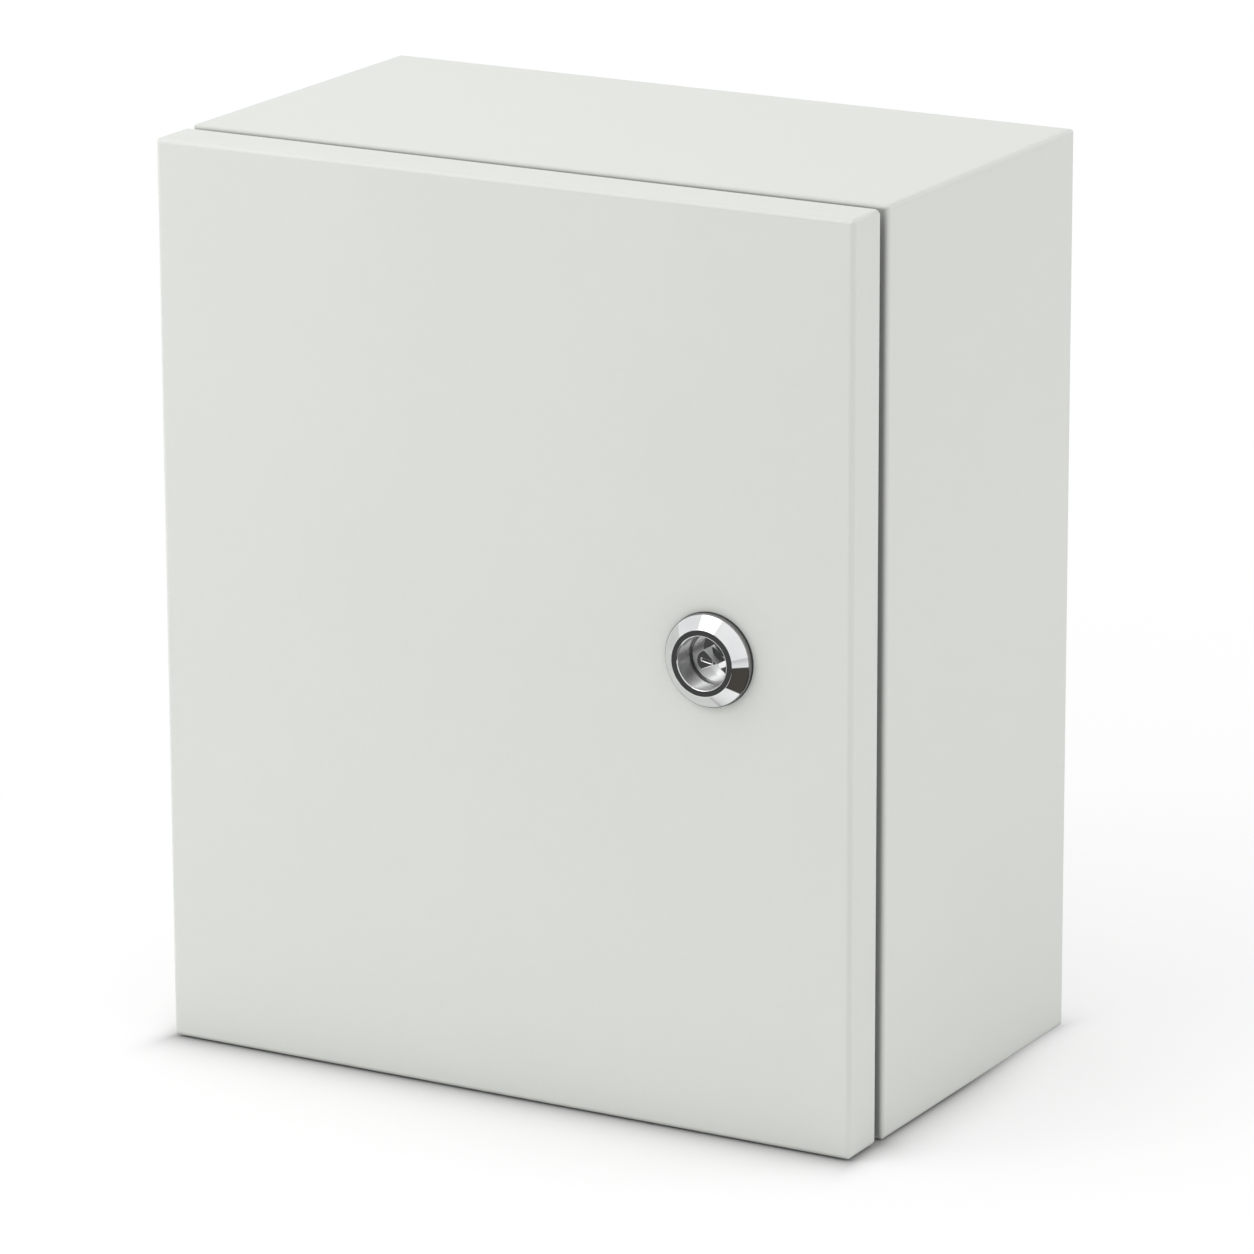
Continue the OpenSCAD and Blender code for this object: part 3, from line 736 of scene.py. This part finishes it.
# %% Pour the bead
seal_low, seal_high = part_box("door_gasket")
corner_radius = 3.4
section = [
    (-4.75, 0), (-4.7, 1.6), (-4.2, 3.6), (-3.2, 5.1), (-1.9, 5.7), (-0.8, 5.45), (0, 5.35),
    (0.8, 5.45), (1.9, 5.7), (3.2, 5.1), (4.2, 3.6), (4.7, 1.6), (4.75, 0),
]
bead_edge = section[-1][0]
bead_start = Vector((seal_low.x + corner_radius * MM, seal_low.y, seal_high.z))
bead = bmesh.new()
line = [
    bead.verts.new(bead_start + Vector((0, height, across - bead_edge)) * MM) for across, height in section
]
ring = [bead.edges.new(pair) for pair in zip(line, line[1:] + line[:1])]
wide, high = seal_high.x - seal_low.x, seal_high.z - seal_low.z
sides = [((1, 0, 0), wide), ((0, 0, -1), high), ((-1, 0, 0), wide), ((0, 0, 1), high)]
for direction, length in sides:
    along = Vector(direction)
    pushed = bmesh.ops.extrude_edge_only(bead, edges=ring)["geom"]
    fresh = [item for item in pushed if isinstance(item, bmesh.types.BMVert)]
    bmesh.ops.translate(bead, vec=along * (length - 2 * corner_radius * MM), verts=fresh)
    edges = [item for item in pushed if isinstance(item, bmesh.types.BMEdge)]
    ring = [edge for edge in edges if all(corner in fresh for corner in edge.verts)]
    inward = Vector((along.z, 0, -along.x))
    outermost = max(fresh, key=lambda vert: -vert.co.dot(inward)).co
    centre = outermost + inward * corner_radius * MM
    swung = bmesh.ops.spin(
        bead, geom=ring, cent=centre, axis=(0, 1, 0), angle=math.pi / 2, steps=6, use_duplicate=False,
    )["geom_last"]
    ring = [item for item in swung if isinstance(item, bmesh.types.BMEdge)]
bmesh.ops.remove_doubles(bead, verts=bead.verts, dist=0.01 * MM)
bmesh.ops.recalc_face_normals(bead, faces=bead.faces)
print("bead:", len(bead.faces), "faces, open edges:", sum(not edge.is_manifold for edge in bead.edges))
door_seal = finish_piece("door_seal_bead", bead, "door", "foam", ["door_gasket"])

# %% [markdown]
# ## Floor
# The floor is plain, pale and matt. It catches the soft shadow that grounds the box, which a painted
# contact shadow deepens close to its base, and it lights the box from below as a studio table does. It
# is a single square made by `create_grid` and far larger than the view.

# %% Lay a flat sheet
def lay_sheet(name, centre, turned, length, width, finish):
    """A flat rectangle of a given finish, for the studio round the object."""
    sheet_bm = bmesh.new()
    bmesh.ops.create_grid(sheet_bm, x_segments=1, y_segments=1, size=0.5)
    bmesh.ops.scale(sheet_bm, vec=(length, width, 1), verts=sheet_bm.verts)
    bmesh.ops.rotate(sheet_bm, cent=(0, 0, 0), matrix=turned, verts=sheet_bm.verts)
    bmesh.ops.translate(sheet_bm, vec=centre, verts=sheet_bm.verts)
    mesh = bpy.data.meshes.new(name)
    sheet_bm.to_mesh(mesh)
    sheet_bm.free()
    mesh.materials.append(finish)
    sheet = bpy.data.objects.new(name, mesh)
    bpy.context.scene.collection.objects.link(sheet)
    return sheet


floor_finish, floor_shader, floor_place = start_finish("floor", Roughness=0.9, Specular_IOR_Level=0.0)
floor_level, floor_size = cad_low.z - 0.0002, 24
floor = lay_sheet("floor", (0, 0, floor_level), Matrix.Identity(3), floor_size, floor_size, floor_finish)
print("floor at", round(floor_level, 4))

# %% [markdown]
# ## The floor's tones
# Two masks follow the distance from the box's base. The first is a painted contact shadow: it darkens
# the floor's colour in the last centimetre, where the box all but touches it. The second mixes in plain
# white, and only for what the camera sees directly, so it neither lights the box nor hides the shadow near
# it.

# %% Tone the floor
def gap_round(middle, half, stretch):
    """How far a place on the floor is from a rectangle, with each direction stretched."""
    past = floor_place.vector("ABSOLUTE", floor_place.vector("SUBTRACT", floor_place, middle))
    outside = floor_place.vector("MAXIMUM", floor_place.vector("SUBTRACT", past, half), (0, 0, 0))
    return floor_place.vector("LENGTH", floor_place.vector("MULTIPLY", outside, stretch), output=1)


def grey(level):
    """A linear grey."""
    return (level, level, level, 1)


base_gap = gap_round(middle=(0, -0.075, 0), half=(0.125, 0.075, 0), stretch=(2.4, 1, 0))
# painted contact shadow: the floor's grey drops from 0.95 to 0.5 as the box's base gets near
painted_contact_shadow = base_gap.sum("EXPONENT", base_gap * -130)
connect(blend(painted_contact_shadow, grey(0.95), grey(0.5)), floor_shader, "Base Color")
gap = gap_round(middle=(0, -0.12, 0), half=(0.125, 0.03, 0), stretch=(2.0, 0.55, 0))
whiteness = ramp(gap, 0.004, 0.045, height=0.45) + ramp(gap, 0.03, 0.4, height=0.55)
seen_directly = gap.node("ShaderNodeLightPath")
white = gap.node("ShaderNodeEmission", None, {"Color": grey(1), "Strength": 1.0})
matt = Wire(gap.tree, floor_shader.outputs["BSDF"])
floor_look = gap.node("ShaderNodeMixShader", None, {0: whiteness * seen_directly, 1: matt, 2: white})
connect(floor_look, gap.tree.nodes["Material Output"], "Surface")
print("floor finish:", len(gap.tree.nodes), "nodes")

# %% [markdown]
# ## Light
# The world is a plain soft grey light, and it shows as white to the camera and in metal. A large key lamp
# in front on the left and a nearer one beside it give the door its slow change of tone, from light at the
# top left to darker at the lower right. One lamp overhead lights the top, and two on the right fill the
# side. Only the key shows in metal, as a bright patch on the collar's cone.

# %% Light the studio
world = bpy.data.worlds.new("studio")
bpy.context.scene.world = world
world.use_nodes = True
world_tree = world.node_tree
world_tree.nodes.clear()
ray = world_tree.nodes.new("ShaderNodeLightPath")
shows_white = Wire(world_tree, ray.outputs["Is Camera Ray"])
for kind in ("Is Glossy Ray", "Is Transmission Ray"):
    shows_white = shows_white.sum("MAXIMUM", shows_white, Wire(world_tree, ray.outputs[kind]))
world_light = 0.75
strength = world_light + shows_white * (1 - world_light)
sky = strength.node("ShaderNodeBackground", None, {"Color": grey(1), "Strength": strength})
connect(sky, world_tree.nodes.new("ShaderNodeOutputWorld"), "Surface")


def add_lamp(name, place, target, size, watts, in_metal=False):
    """A square lamp that looks at its target."""
    lamp = bpy.data.lights.new(name, "AREA")
    lamp.shape, lamp.size, lamp.energy = "SQUARE", size, watts
    holder = bpy.data.objects.new(name, lamp)
    holder.location = place
    holder.rotation_mode = "QUATERNION"
    holder.rotation_quaternion = (Vector(target) - Vector(place)).to_track_quat("-Z", "Y")
    holder.visible_glossy = in_metal
    bpy.context.scene.collection.objects.link(holder)


box_middle = (0, -0.1, 0)
add_lamp("key", (-0.5, -1.1, 1.0), box_middle, 1.0, 4.6, in_metal=True)
add_lamp("near_key", (-0.7, -0.5, 0.45), box_middle, 0.7, 1.55)
add_lamp("rear_fill", (1.1, 0.8, 0.4), (0.1, -0.07, 0), 1.0, 2.35)
add_lamp("low_fill", (0.95, -0.2, -0.02), (0.125, -0.09, -0.13), 0.25, 0.35)
add_lamp("overhead", (0, -0.1, 1.6), box_middle, 1.0, 4.15)

# %% [markdown]
# ## Black flags
# Polished metal is dark only where it mirrors something dark, so in a studio black cards, called flags,
# are set up where their reflection gives the chrome its shape. One stands in front, one lies on the floor
# before it, and one lies turned on the right, where the cone mirrors it as a dark wedge. Only reflections
# see them.

# %% Set up the flags
def set_flag(name, centre, turned, length, width, shade):
    """A dark card that only reflections see. `shade` is the little light that it gives back."""
    cloth, _, _ = start_finish(
        name, Base_Color=grey(0), Specular_IOR_Level=0.0, Emission_Color=shade, Emission_Strength=1.0
    )
    flag = lay_sheet(name, centre, turned, length, width, cloth)
    flag.visible_camera = flag.visible_diffuse = flag.visible_shadow = flag.visible_transmission = False


flag_level = cad_low.z + 0.001
upright, flat, askew = (
    Matrix.Rotation(math.radians(angle), 3, axis) for angle, axis in ((90, "X"), (0, "Z"), (-29.7, "Z"))
)
set_flag("front_flag", (0, -0.95, 0.15), upright, 1.4, 0.6, grey(0.07))
set_flag("table_flag", (0.06, -0.68, flag_level), flat, 0.86, 0.54, grey(0.07))
set_flag("corner_flag", (0.35, -0.31, flag_level), askew, 0.47, 0.2, (0.078, 0.071, 0.062, 1))

# %% [markdown]
# ## The view transform
# The view transform stays Standard, so a colour renders about as it is written.

# %% Finish
bpy.context.scene.view_settings.view_transform = "Standard"

import json
